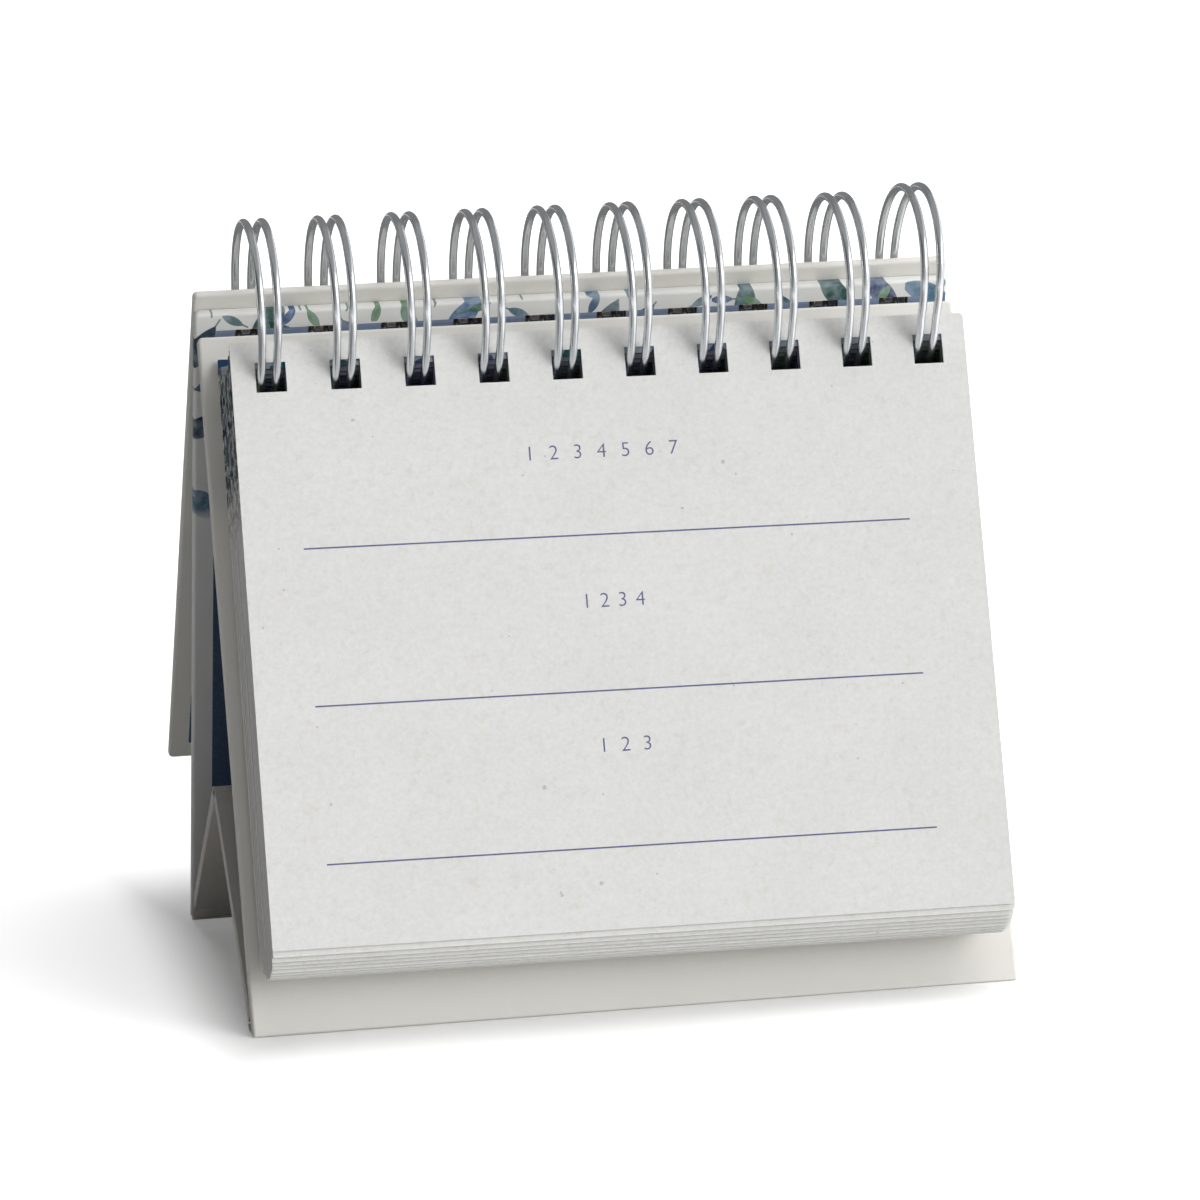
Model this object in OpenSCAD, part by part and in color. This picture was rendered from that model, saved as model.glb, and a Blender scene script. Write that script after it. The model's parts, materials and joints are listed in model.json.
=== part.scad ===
// Perpetual flip calendar: a hard-case desk easel with a thick block of ruled leaves on a twin-loop wire.
// Millimetres, +Z up, front towards -Y. Origin on the floor, under the middle of the whole calendar.

/* [Easel boards] */
// width of the wrapped case
board_w = 133.5; // [110:0.5:160]
// length of the front board from its foot to its top edge
front_len = 119.8; // [100:0.2:140]
// thickness of a wrapped board
board_t = 2.2; // [1.8:0.1:2.6]
// lean of the front board from the upright, degrees
front_lean = 21.6; // [19:0.1:24]
// lean of the back board from the upright, degrees
back_lean = 11.7; // [9:0.1:14]
// thickness of the covering paper and of the lining
paper_t = 0.3; // [0.2:0.05:0.4]
// width of the turned-in edge of the covering paper
turn_in = 3.5; // [3:0.1:4.5]
// radius of the outer corners of the boards
board_corner_r = 0.9; // [0.5:0.1:1.5]

/* [Folding base] */
// height of the fold line under the ridge of the base
ridge_h = 31.0; // [26:0.5:34]
// share of the way from the front to the back foot hinge at which the ridge lies
ridge_ratio = 0.535; // [0.51:0.005:0.56]

/* [Binding wire] */
// mean radius of a loop
loop_r = 14.5; // [14:0.1:16]
// diameter of the wire
wire_d = 1.4; // [1:0.05:1.5]
// spacing of the loops, two to the inch
loop_pitch = 12.7; // [12:0.1:13]
// spacing of the two wires of one loop
twin_gap = 2.8; // [2.4:0.1:3]
// rise of the loop axis above the top edge of the front board, along the board
loop_rise = 3.0; // [2.5:0.1:5]

/* [Leaves] */
// width of a leaf
leaf_w = 127.7; // [110:0.5:133]
// height of a leaf
leaf_h = 102.4; // [80:0.2:106]
// radius of the leaf corners
leaf_corner_r = 0.8; // [0.4:0.1:2]
// thickness from the front leaf to the front board
stack_t = 15.9; // [12:0.1:17]
// thickness of the card behind the stack
back_card_t = 0.5; // [0.3:0.1:0.8]
// thickness of the loose front leaf
leaf_t = 0.3; // [0.2:0.05:0.4]
// width of a punched hole
hole_w = 5.2; // [5:0.1:6]
// height of a punched hole in a leaf
hole_h = 5.1; // [4.8:0.1:5.6]
// paper left above a punched hole
hole_margin = 3.5; // [3:0.1:4.5]

/* [Cover] */
// lean of the turned-back cover from the upright, degrees
cover_lean = 26.8; // [24:0.1:30]
// length of the cover
cover_len = 106; // [90:0.5:110]
// thickness of the cover
cover_t = 1.6; // [1.4:0.1:2]

/* [Hidden] */
$fn = 64;
big = 400;
// play between two pieces that turn against each other
play = 0.2;
// least paper beside the end holes of a leaf, which sets the number of double loops
side_margin = 3;
loop_count = floor((leaf_w - hole_w - 2 * side_margin) / loop_pitch) + 1;
// length of board below the floor before the foot is cut level
foot_trim = 3 * board_t;
// play of the loose leaf against the leaf behind it
leaf_gap = 0.3;
// play of the cover against the top corner of the back board
cover_gap = 0.15;
// height of a slot in a board, long enough for the curve of the wire
slot_h = 6.5;

// loop axis in the frame of the front board: ahead of its face, and up along it
loop_ahead = stack_t * 0.54;
loop_up = front_len + loop_rise;
axis_y = loop_up * sin(front_lean) - loop_ahead * cos(front_lean);
axis_z = loop_up * cos(front_lean) + loop_ahead * sin(front_lean);

// back board: its inner face lies behind the loop axis, its top edge below it
back_behind = 9.1;
back_drop = 4.6;
back_top_y = axis_y + back_behind * cos(back_lean) + back_drop * sin(back_lean);
back_top_z = axis_z + back_behind * sin(back_lean) - back_drop * cos(back_lean);
back_len = back_top_z / cos(back_lean);
back_foot_y = back_top_y + back_top_z * tan(back_lean);
foot_spread = back_foot_y + board_t / cos(back_lean);

// foot hinges, just inside the inner faces of the boards
hinge_h = board_t + 0.55;
hinge_f_y = hinge_h * tan(front_lean) + board_t / cos(front_lean) + play;
hinge_b_y = back_foot_y - hinge_h * tan(back_lean) - play;

// paper strip bent round a foot hinge: its inner radius,
// and the angle it reaches past the board's inner face
strip_r = board_t + 0.15;
front_reach = asin(play * cos(front_lean) / (strip_r + paper_t));
back_reach = asin(play * cos(back_lean) / (strip_r + paper_t));

// ridge fold line, on the undersides of the two base panels
ridge_y = hinge_f_y + ridge_ratio * (hinge_b_y - hinge_f_y);
link_f = norm([ridge_y - hinge_f_y, ridge_h - hinge_h]);
link_b = norm([hinge_b_y - ridge_y, ridge_h - hinge_h]);
base_f_len = sqrt(link_f * link_f - board_t * board_t);
base_b_len = sqrt(link_b * link_b - board_t * board_t);
base_f_up = atan2(ridge_h - hinge_h, ridge_y - hinge_f_y) + atan(board_t / base_f_len);
base_b_up = atan2(ridge_h - hinge_h, hinge_b_y - ridge_y) + atan(board_t / base_b_len);
// room left at the rear edge of the back base panel, so that it clears the back board while folding
rear_setback = 2.2;

// cover: its inner face clears the top corner of the back board
cover_turn = cover_lean - back_lean;
cover_behind = (back_behind + board_t) * cos(cover_turn) - back_drop * sin(cover_turn) + cover_gap;

// play between the wire and the top of a hole that hangs on it
wire_play = 0.15;
// distance of the wire below the loop axis in a plane that passes the axis at distance d
function drop(d) = sqrt(loop_r * loop_r - d * d);
// height from the middle of the wire to the top of the hole it holds,
// for a sheet of thickness t at distance d
inner_r = loop_r - wire_d / 2;
function hang(d, t) = drop(d) - sqrt(inner_r * inner_r - pow(abs(d) + t / 2, 2)) + wire_play;

front_slot_z = loop_up - drop(loop_ahead + board_t / 2);
back_slot_z = back_len + back_drop - drop(back_behind + board_t / 2);
// lower edge and height of the slots; those in the back board end just above the wire
front_slot = [front_slot_z - slot_h / 2, slot_h];
back_slot = [back_slot_z - slot_h / 2, slot_h / 2 + hang(back_behind + board_t / 2, board_t) + wire_play];
cover_wire = drop(cover_behind + cover_t / 2);
cover_hole_h = 5.6;
// board left above a hole in the cover
cover_margin = hole_margin - 0.35;
cover_hang = hang(cover_behind + cover_t / 2, cover_t);
cover_top = cover_wire - cover_hang - cover_margin;

// stack of leaves, in the frame of the front board, one block for each month
block_count = 12;
leaf_y = -stack_t;
stack_front = leaf_y + leaf_t + leaf_gap;
block_t = (-stack_front - back_card_t) / block_count;
function block_mid(i) = stack_front + (i + 0.5) * block_t;
function hole_top(y, t) = loop_up - drop(y + loop_ahead) + hang(y + loop_ahead, t);

// front and back limits of the whole calendar, so that the origin lies midway
function leaf_near(y, t) = (hole_top(y + t / 2, t) + hole_margin - leaf_h) * sin(front_lean)
    + y * cos(front_lean);
near_y = min(concat([leaf_near(leaf_y, leaf_t)],
    [for (i = [0 : block_count - 1]) leaf_near(stack_front + i * block_t, block_t)]));
far_y = axis_y + (cover_behind + cover_t) * cos(cover_lean) + (cover_top + cover_len) * sin(cover_lean);
shift_y = -(near_y + far_y) / 2;

// seam of the wire: links against the inner face of the front board, tips coming from the back
bend_r = 1.2;
seam_d = loop_ahead + board_t + wire_d / 2 + 0.2;
link_ang = -90 + asin(seam_d / loop_r) - front_lean;
link_start = link_ang - asin(bend_r / loop_r);
tip_ang = link_ang + (wire_d / 2 + 0.4 + twin_gap / 2 + wire_d / 2) / loop_r * 180 / PI;
wire_sweep = link_start + 360 - tip_ang;
// sides of the wire, and stations along a loop, a hairpin and a bend
wire_sides = 6;
arc_steps = 24;
bow_steps = 6;
bend_steps = 3;

echo(axis = [axis_y + shift_y, axis_z], foot_spread = foot_spread);
echo(back_len = back_len, shift_y = shift_y);
echo(hinge_f = [hinge_f_y + shift_y, hinge_h], hinge_b = [hinge_b_y + shift_y, hinge_h]);
echo(ridge = [ridge_y + shift_y, ridge_h]);
echo(base_f = [base_f_len, base_f_up], base_b = [base_b_len, base_b_up]);
echo(cover_behind = cover_behind, cover_top = cover_top, block_t = block_t);
echo(link_ang = link_ang, tip_ang = tip_ang);
echo(front_slot_z = front_slot_z, back_slot_z = back_slot_z);
echo(leaf_top = hole_top(leaf_y, leaf_t) + hole_margin);

// frames
module at_front() {
    translate([0, shift_y, 0]) rotate([-front_lean, 0, 0]) children();
}
module at_back() {
    translate([0, shift_y + back_foot_y, 0]) rotate([back_lean, 0, 0])
        translate([0, board_t, 0]) mirror([0, 1, 0]) children();
}
module at_board(side) {
    if (side == "front") at_front() children();
    if (side == "back") at_back() children();
}
module at_base_front() {
    translate([0, shift_y + hinge_f_y, hinge_h]) rotate([base_f_up - 90, 0, 0]) children();
}
module at_base_back() {
    translate([0, shift_y + hinge_b_y, hinge_h]) rotate([90 - base_b_up, 0, 0]) mirror([0, 1, 0]) children();
}
module at_cover() {
    translate([0, shift_y + axis_y, axis_z]) rotate([cover_lean, 0, 0]) children();
}
module above(h) {
    intersection() {
        children();
        translate([-big / 2, -big / 2, h]) cube([big, big, big]);
    }
}

// sheet of width w from z0 to z1 with round corners, drawn flat
module sheet2d(w, z0, z1, r) {
    translate([-w / 2, z0 + r]) square([w, z1 - z0 - 2 * r]);
    translate([-w / 2 + r, z0]) square([w - 2 * r, z1 - z0]);
    for (x = [-1, 1]) {
        for (z = [z0 + r, z1 - r]) {
            translate([x * (w / 2 - r), z]) circle(r);
        }
    }
}
module slots2d(z0, h) {
    for (i = [0 : loop_count - 1]) {
        translate([(i - (loop_count - 1) / 2) * loop_pitch - hole_w / 2, z0]) square([hole_w, h]);
    }
}
// upright plate from y0 to y1 made from a flat drawing
module plate(y0, y1) {
    translate([0, y1, 0]) rotate([90, 0, 0]) linear_extrude(height = y1 - y0) children();
}
module along_x(w) {
    translate([-w / 2, 0, 0]) rotate([90, 0, 90]) linear_extrude(height = w) children();
}
// strip of paper bent round a fold line, from angle a0 to a1
module bent_strip(r, t, a0, a1) {
    difference() {
        circle(r + t);
        circle(r);
        polygon([[0, 0], [9 * r * cos(a1), 9 * r * sin(a1)], [9 * r * cos(a1 + 80), 9 * r * sin(a1 + 80)],
            [-9 * r * cos((a0 + a1) / 2), -9 * r * sin((a0 + a1) / 2)],
            [9 * r * cos(a0 - 80), 9 * r * sin(a0 - 80)], [9 * r * cos(a0), 9 * r * sin(a0)]]);
    }
}

// board pieces, outer face at y = 0: core, covering paper with turned-in edges, lining
module core_solid(side, len) {
    above(paper_t) at_board(side) plate(paper_t, board_t - paper_t)
        sheet2d(board_w - 2 * paper_t, -foot_trim, len - paper_t, board_corner_r - paper_t);
}
module slots(side, slot) {
    at_board(side) plate(-1, board_t + 1) slots2d(slot[0], slot[1]);
}
module board_core(side, len, slot) {
    color([0.62, 0.56, 0.48]) difference() {
        core_solid(side, len);
        slots(side, slot);
    }
}
module board_wrap(side, len, slot) {
    color([0.90, 0.88, 0.82]) difference() {
        above(0) at_board(side) plate(0, board_t) sheet2d(board_w, -foot_trim, len, board_corner_r);
        core_solid(side, len);
        at_board(side) plate(board_t - 1.5 * paper_t, board_t + 1)
            sheet2d(board_w - 2 * turn_in, turn_in, len - turn_in, paper_t);
        slots(side, slot);
    }
}
module board_liner(side, len, slot) {
    color([0.22, 0.28, 0.40]) difference() {
        at_board(side) plate(board_t - paper_t, board_t)
            sheet2d(board_w - 2 * turn_in, turn_in, len - turn_in, paper_t);
        slots(side, slot);
    }
}

// base panels lie with the lining at y = 0 and the covering paper at y = board_t
module panel_core(z0, z1) {
    translate([-board_w / 2 + paper_t, paper_t, z0])
        cube([board_w - 2 * paper_t, board_t - 2 * paper_t, z1 - z0]);
}
module panel_wrap(z0, z1) {
    difference() {
        translate([-board_w / 2, 0, z0]) cube([board_w, board_t, z1 - z0]);
        panel_core(z0 - 1, z1 + 1);
        translate([-board_w / 2 + turn_in, -1, z0 - 1])
            cube([board_w - 2 * turn_in, 1 + 1.5 * paper_t, z1 - z0 + 2]);
    }
}
module panel_liner(z0, z1) {
    translate([-board_w / 2 + turn_in, 0, z0]) cube([board_w - 2 * turn_in, paper_t, z1 - z0]);
}

module front_board_core() {
    board_core("front", front_len, front_slot);
}
module front_board_wrap() {
    board_wrap("front", front_len, front_slot);
}
module front_board_liner() {
    board_liner("front", front_len, front_slot);
}
module front_foot_hinge() {
    color([0.88, 0.86, 0.80]) translate([0, shift_y + hinge_f_y, hinge_h]) along_x(board_w)
        bent_strip(strip_r, paper_t, 270 - front_lean - front_reach, 270 + base_f_up);
}
module back_board_core() {
    board_core("back", back_len, back_slot);
}
module back_board_wrap() {
    board_wrap("back", back_len, back_slot);
}
module back_board_liner() {
    board_liner("back", back_len, back_slot);
}
module back_foot_hinge() {
    color([0.88, 0.86, 0.80]) translate([0, shift_y + hinge_b_y, hinge_h]) along_x(board_w)
        bent_strip(strip_r, paper_t, 270 - base_b_up, 270 + back_lean + back_reach);
}
module base_front_core() {
    color([0.62, 0.56, 0.48]) at_base_front() panel_core(play, base_f_len);
}
module base_front_wrap() {
    color([0.90, 0.88, 0.82]) at_base_front() panel_wrap(play, base_f_len);
}
module base_front_liner() {
    color([0.22, 0.28, 0.40]) at_base_front() panel_liner(play, base_f_len);
}
module ridge_hinge() {
    color([0.88, 0.86, 0.80]) translate([0, shift_y + ridge_y, ridge_h]) along_x(board_w)
        bent_strip(board_t - paper_t, paper_t, 90 - base_b_up, base_f_up + 90);
}
module base_back_core() {
    color([0.62, 0.56, 0.48]) at_base_back() panel_core(rear_setback, base_b_len - 2 * play);
}
module base_back_wrap() {
    color([0.90, 0.88, 0.82]) at_base_back() panel_wrap(rear_setback, base_b_len - 2 * play);
}
module base_back_liner() {
    color([0.22, 0.28, 0.40]) at_base_back() panel_liner(rear_setback, base_b_len - 2 * play);
}

// cover: in its frame the loop axis is the origin and z runs up the board
module cover_sheet(w, inset, r) {
    sheet2d(w, -cover_top - cover_len + inset, -cover_top - inset, r);
}
module cover_slots() {
    plate(cover_behind - 1, cover_behind + cover_t + 1)
        slots2d(-cover_wire + cover_hang - cover_hole_h, cover_hole_h);
}
module cover_core_solid() {
    plate(cover_behind + paper_t, cover_behind + cover_t - paper_t)
        cover_sheet(board_w - 2 * paper_t, paper_t, board_corner_r - paper_t);
}
module cover_core() {
    color([0.62, 0.56, 0.48]) at_cover() difference() {
        cover_core_solid();
        cover_slots();
    }
}
module cover_wrap() {
    color([0.90, 0.88, 0.82]) at_cover() difference() {
        plate(cover_behind, cover_behind + cover_t) cover_sheet(board_w, 0, board_corner_r);
        cover_core_solid();
        plate(cover_behind - 1, cover_behind + 1.5 * paper_t)
            cover_sheet(board_w - 2 * turn_in, turn_in, paper_t);
        cover_slots();
    }
}
module cover_liner() {
    color([0.22, 0.28, 0.40]) at_cover() difference() {
        plate(cover_behind, cover_behind + paper_t)
            cover_sheet(board_w - 2 * turn_in, turn_in, paper_t);
        cover_slots();
    }
}

// leaf of thickness t with its front at y, hung on the wire by its row of holes
module leaf(y, t) {
    top = hole_top(y + t / 2, t);
    at_front() plate(y, y + t) difference() {
        sheet2d(leaf_w, top + hole_margin - leaf_h, top + hole_margin, leaf_corner_r);
        slots2d(top - hole_h, hole_h);
    }
}
module front_leaf() {
    color([0.95, 0.95, 0.94]) leaf(leaf_y, leaf_t);
}
module month_block(i) {
    color([0.93, 0.93, 0.92]) leaf(stack_front + i * block_t, block_t);
}
module back_card() {
    color([0.88, 0.88, 0.86]) leaf(-back_card_t, back_card_t);
}

// one continuous wire: hairpin loops side by side, with straight links between their open ends.
// A station is [x, angle round the loop, way along the tangent, heading],
// with heading 0 along x and 90 along the tangent.
function loop_x(i) = (i - (loop_count - 1) / 2) * loop_pitch;
function left_bend(x) = [for (j = [0 : bend_steps - 1]) let (q = 90 * j / bend_steps)
    [x - bend_r + bend_r * sin(q), link_start, bend_r * cos(q), -q]];
function loop_arc(x, turn) = [for (j = [0 : arc_steps])
    [x, tip_ang + wire_sweep * (turn > 0 ? j : arc_steps - j) / arc_steps, 0, 90 * turn]];
function hairpin(x) = [for (j = [1 : bow_steps - 1]) let (q = 180 * j / bow_steps)
    [x - twin_gap / 2 * cos(q), tip_ang, -twin_gap / 2 * sin(q), q - 90]];
function right_bend(x) = [for (j = [1 : bend_steps]) let (q = 90 * j / bend_steps)
    [x + bend_r - bend_r * cos(q), link_start, bend_r * sin(q), 90 - q]];
function double_loop(i) = let (left = loop_x(i) - twin_gap / 2, right = loop_x(i) + twin_gap / 2)
    concat(i > 0 ? left_bend(left) : [], loop_arc(left, -1), hairpin(loop_x(i)), loop_arc(right, 1),
        i < loop_count - 1 ? right_bend(right) : []);
function place(s) = [s[0], loop_r * cos(s[1]) - s[2] * sin(s[1]), loop_r * sin(s[1]) + s[2] * cos(s[1])];
// ring of the tube: k degrees from the direction away from the loop axis
function rim(s, k) = place(s) + wire_d / 2 * [-sin(s[3]) * sin(k),
    cos(s[1]) * cos(k) - sin(s[1]) * cos(s[3]) * sin(k),
    sin(s[1]) * cos(k) + cos(s[1]) * cos(s[3]) * sin(k)];
wire_path = [for (i = [0 : loop_count - 1]) each double_loop(i)];
module tube(path) {
    last = len(path) - 1;
    polyhedron(
        [for (s = path) for (k = [0 : wire_sides - 1]) rim(s, 360 * k / wire_sides)],
        concat(
            [[for (k = [wire_sides - 1 : -1 : 0]) k]],
            [for (j = [0 : last - 1]) for (k = [0 : wire_sides - 1])
                let (a = j * wire_sides + k, b = j * wire_sides + (k + 1) % wire_sides)
                each [[a, b, a + wire_sides], [b, b + wire_sides, a + wire_sides]]],
            [[for (k = [0 : wire_sides - 1]) last * wire_sides + k]]));
}
module binding_wire() {
    color([0.75, 0.76, 0.78]) translate([0, shift_y + axis_y, axis_z]) tube(wire_path);
}
// least gap between stretches of the wire that aren't neighbours, over the first two loops
near_path = [for (s = concat(double_loop(0), double_loop(1))) place(s)];
echo(wire_self_gap = min([for (i = [0 : len(near_path) - 6]) for (j = [i + 5 : len(near_path) - 1])
    norm(near_path[i] - near_path[j])]) - wire_d);

front_board_core();
front_board_wrap();
front_board_liner();
front_foot_hinge();
back_board_core();
back_board_wrap();
back_board_liner();
back_foot_hinge();
base_front_core();
base_front_wrap();
base_front_liner();
ridge_hinge();
base_back_core();
base_back_wrap();
base_back_liner();
cover_core();
cover_wrap();
cover_liner();
binding_wire();
front_leaf();
month_block(0);  // month_block_01
month_block(1);  // month_block_02
month_block(2);  // month_block_03
month_block(3);  // month_block_04
month_block(4);  // month_block_05
month_block(5);  // month_block_06
month_block(6);  // month_block_07
month_block(7);  // month_block_08
month_block(8);  // month_block_09
month_block(9);  // month_block_10
month_block(10);  // month_block_11
month_block(11);  // month_block_12
back_card();
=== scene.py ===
# %% [markdown]
# # Perpetual flip calendar
# A small desk easel: a hard paper-covered case, a thick block of ruled leaves, and a twin-loop wire that
# holds them together. Its construction comes in as a frame of finished solids, each in its place. Shown as
# they are, they would look like plastic, so this lesson dresses them with papers, ink, wire and light.

# %% Load the frame
import json
import math

import bmesh
import bpy
from mathutils import Matrix, Vector


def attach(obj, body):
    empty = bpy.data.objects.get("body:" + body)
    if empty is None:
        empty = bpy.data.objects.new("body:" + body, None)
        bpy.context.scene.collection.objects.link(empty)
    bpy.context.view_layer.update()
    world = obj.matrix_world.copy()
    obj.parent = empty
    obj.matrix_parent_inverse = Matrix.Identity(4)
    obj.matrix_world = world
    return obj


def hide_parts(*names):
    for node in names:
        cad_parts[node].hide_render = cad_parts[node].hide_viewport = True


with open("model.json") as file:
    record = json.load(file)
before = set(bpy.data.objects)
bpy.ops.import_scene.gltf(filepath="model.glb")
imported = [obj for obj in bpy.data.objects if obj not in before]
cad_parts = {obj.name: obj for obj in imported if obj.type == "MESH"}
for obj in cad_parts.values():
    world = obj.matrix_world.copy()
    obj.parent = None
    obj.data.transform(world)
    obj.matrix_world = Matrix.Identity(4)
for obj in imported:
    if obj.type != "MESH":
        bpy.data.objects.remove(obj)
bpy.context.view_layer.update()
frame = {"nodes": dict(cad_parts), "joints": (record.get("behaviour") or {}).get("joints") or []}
nodes = frame["nodes"]

# %% [markdown]
# ## Loop axis and leaning planes
# The leaves lie against a leaning front board and hang from the loops of the wire. Every point could be
# written in world coordinates, but on a leaning plane of its own a leaf has plain upright sizes. The leaf's
# plane is built from the axis of the loops, which the frame gives as the cover's hinge, and the back board's
# plane from its foot. Sizes are in millimetres, as on a drawing, and MM turns them into Blender's metres.

# %% Sizes and the leaning planes
MM = 0.001
FRONT_LEAN = math.radians(21.6)
BACK_LEAN = math.radians(11.7)
BACK_FOOT = 27.322 * MM
LOOP_R = 14.5 * MM
LOOP_PITCH = 12.7 * MM
LOOP_COUNT = 10
LOOP_UP = 122.8 * MM
LOOP_AHEAD = 8.586 * MM
HOLE_UP = 111.3 * MM
LEAF_TURN = math.radians(0.45)

loop_axis = Vector(next(j["pos_m"] for j in frame["joints"] if j["name"] == "cover_flip"))
loop_places = [(i - (LOOP_COUNT - 1) / 2) * LOOP_PITCH for i in range(LOOP_COUNT)]
# in this plane x runs across, y inward from the front board's face, z up the board
leaf_plane = (Matrix.Translation(loop_axis) @ Matrix.Rotation(-FRONT_LEAN, 4, "X")
              @ Matrix.Translation((0, LOOP_AHEAD, -LOOP_UP)))
# the leaves hang a little askew: lowest on the last loop, lifted at the first
last_hole = Vector((loop_places[-1], 0, HOLE_UP))
hung_plane = (leaf_plane @ Matrix.Translation(last_hole) @ Matrix.Rotation(LEAF_TURN, 4, "Y")
              @ Matrix.Translation(-last_hole))
# here y is 0 on the inner face and grows outward
back_plane = Matrix.Translation((0, BACK_FOOT, 0)) @ Matrix.Rotation(BACK_LEAN, 4, "X")
print("loop axis, mm:", [round(v / MM, 2) for v in loop_axis])

# %% [markdown]
# ## Nodes as expressions
# The grain of the paper, its ink and the hang of the leaves are formulas. Each could be clicked together
# from Math nodes, which soon become a wall of boxes. A thin wrapper around a socket lets Python's own
# operators add those nodes instead, so a mask reads like the formula it is. Every other node comes from one
# method, which takes the node's type, its settings and what feeds its sockets.

# %% A socket that does sums
class Signal:
    """An output socket. Sums with it add Math nodes to its tree."""

    def __init__(self, net, socket):
        self.net = net
        self.socket = socket

    def out(self, name):
        """Another output of the same node."""
        return Signal(self.net, self.socket.node.outputs[name])

    def most(self, other):
        """The larger of the two."""
        return self.net.maths("MAXIMUM", self, other)

    def __add__(self, other):
        return self.net.maths("ADD", self, other)

    def __sub__(self, other):
        return self.net.maths("SUBTRACT", self, other)

    def __rsub__(self, other):
        return self.net.maths("SUBTRACT", other, self)

    def __mul__(self, other):
        return self.net.maths("MULTIPLY", self, other)

    def __truediv__(self, other):
        return self.net.maths("DIVIDE", self, other)

    def __lt__(self, other):
        return self.net.maths("LESS_THAN", self, other)

    def __gt__(self, other):
        return self.net.maths("GREATER_THAN", self, other)

    def __abs__(self):
        return self.net.maths("ABSOLUTE", self)

    __radd__ = __add__
    __rmul__ = __mul__


print("a socket can add, subtract, multiply, divide and compare")

# %% A tree that is built by calls
class Net:
    """A node tree, with one method that adds any node."""

    def __init__(self, tree):
        self.tree = tree

    def node(self, kind, settings=None, inputs=None, out=0):
        made = self.tree.nodes.new(kind)
        for key, value in (settings or {}).items():
            if key == "stops":
                set_stops(made.color_ramp, value)
            else:
                setattr(made, key, value)
        for key, value in (inputs or {}).items():
            if isinstance(value, Signal):
                self.tree.links.new(value.socket, made.inputs[key])
            else:
                made.inputs[key].default_value = value
        return Signal(self, made.outputs[out])

    def maths(self, operation, *terms):
        return self.node("ShaderNodeMath", {"operation": operation}, dict(enumerate(terms)))

    def axes(self, vector):
        """The x, y and z of a vector."""
        x = self.node("ShaderNodeSeparateXYZ", None, {"Vector": vector})
        return x, x.out("Y"), x.out("Z")


def set_stops(ramp, stops):
    while len(ramp.elements) < len(stops):
        ramp.elements.new(0.5)
    for element, (place, colour) in zip(ramp.elements, stops):
        element.position = place
        element.color = (*colour, 1)


print("trees ready")

# %% [markdown]
# ## Paper, ink and board
# Up close every sheet of the calendar shows the same few things: mottled fibres, stray specks, and print with
# a clean edge. Image textures could show them, but they blur in a close view and need UV maps. Noise and soft
# steps give them from formulas. They read Object coordinates, so a pattern keeps its real scale and stays on
# the piece when it turns over the loops.

# %% A finish and its building blocks
def linear(r, g, b):
    """sRGB numbers from 0 to 255 as a linear colour."""
    def one(c):
        c /= 255
        return c / 12.92 if c <= 0.04045 else ((c + 0.055) / 1.055) ** 2.4
    return (one(r), one(g), one(b))


def opaque(colour):
    """What a colour socket takes: a signal as it is, or three numbers with a full alpha."""
    return colour if isinstance(colour, Signal) else (*colour, 1)


class Finish(Net):
    """A material with one Principled shader, whose constant sockets are set at once."""

    def __init__(self, name, **constants):
        self.material = bpy.data.materials.new(name)
        self.material.use_nodes = True
        super().__init__(self.material.node_tree)
        self.shader = self.tree.nodes["Principled BSDF"]
        for key, value in constants.items():
            self.shader.inputs[key.replace("_", " ")].default_value = value

    def feed(self, socket, signal):
        self.tree.links.new(signal.socket, self.shader.inputs[socket])

    def place(self):
        return self.node("ShaderNodeTexCoord", out="Object")

    def noise(self, vector, size, detail=4.0, rough=0.55):
        return self.node("ShaderNodeTexNoise", {"noise_dimensions": "3D"},
                         {"Vector": vector, "Scale": 1 / size, "Detail": detail, "Roughness": rough})

    def soft(self, signal, start, end):
        """A smooth step that is 0 at start and 1 at end."""
        return self.node("ShaderNodeMapRange", {"interpolation_type": "SMOOTHSTEP", "clamp": True},
                         {"Value": signal, "From Min": start, "From Max": end})

    def tint(self, factor, under, over):
        return self.node("ShaderNodeMix", {"data_type": "RGBA"},
                         {0: factor, 6: opaque(under), 7: opaque(over)}, out=2)

    def shaded(self, colour, shade):
        return self.node("ShaderNodeVectorMath", {"operation": "SCALE"}, {0: colour, "Scale": shade})

    def ramp(self, factor, *stops):
        """A colour ramp, whose stops are places with sRGB colours."""
        return self.node("ShaderNodeValToRGB", {"stops": [(at, linear(*rgb)) for at, rgb in stops]},
                         {"Fac": factor})

    def bump(self, height, strength, distance):
        self.feed("Normal", self.node("ShaderNodeBump", None,
                                      {"Height": height, "Strength": strength, "Distance": distance}))


print("finishes ready")

# %% [markdown]
# ## Leaf paper
# The leaves are an uncoated, slightly grey stock with visible fibres and a scatter of tan and grey specks.
# One flat colour would look like plastic, and a scanned picture would repeat. So three scales are laid over
# each other: a broad cloudiness, fine fibres that feed the bump too, and specks in a jittered grid.

# %% Leaf paper
def flecks(f, at, spacing, radius, share):
    """Small specks in a share of the cells of a jittered grid."""
    cell = f.node("ShaderNodeTexVoronoi", {"voronoi_dimensions": "3D"},
                  {"Vector": at, "Scale": 1 / spacing, "Randomness": 1.0})
    pick = f.node("ShaderNodeSeparateColor", None, {"Color": cell.out("Color")})
    wobble = f.noise(at, radius * 1.6, detail=2.0)
    reach = radius / spacing * (0.4 + 1.2 * wobble)
    return (cell < reach) * (pick < share)


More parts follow.
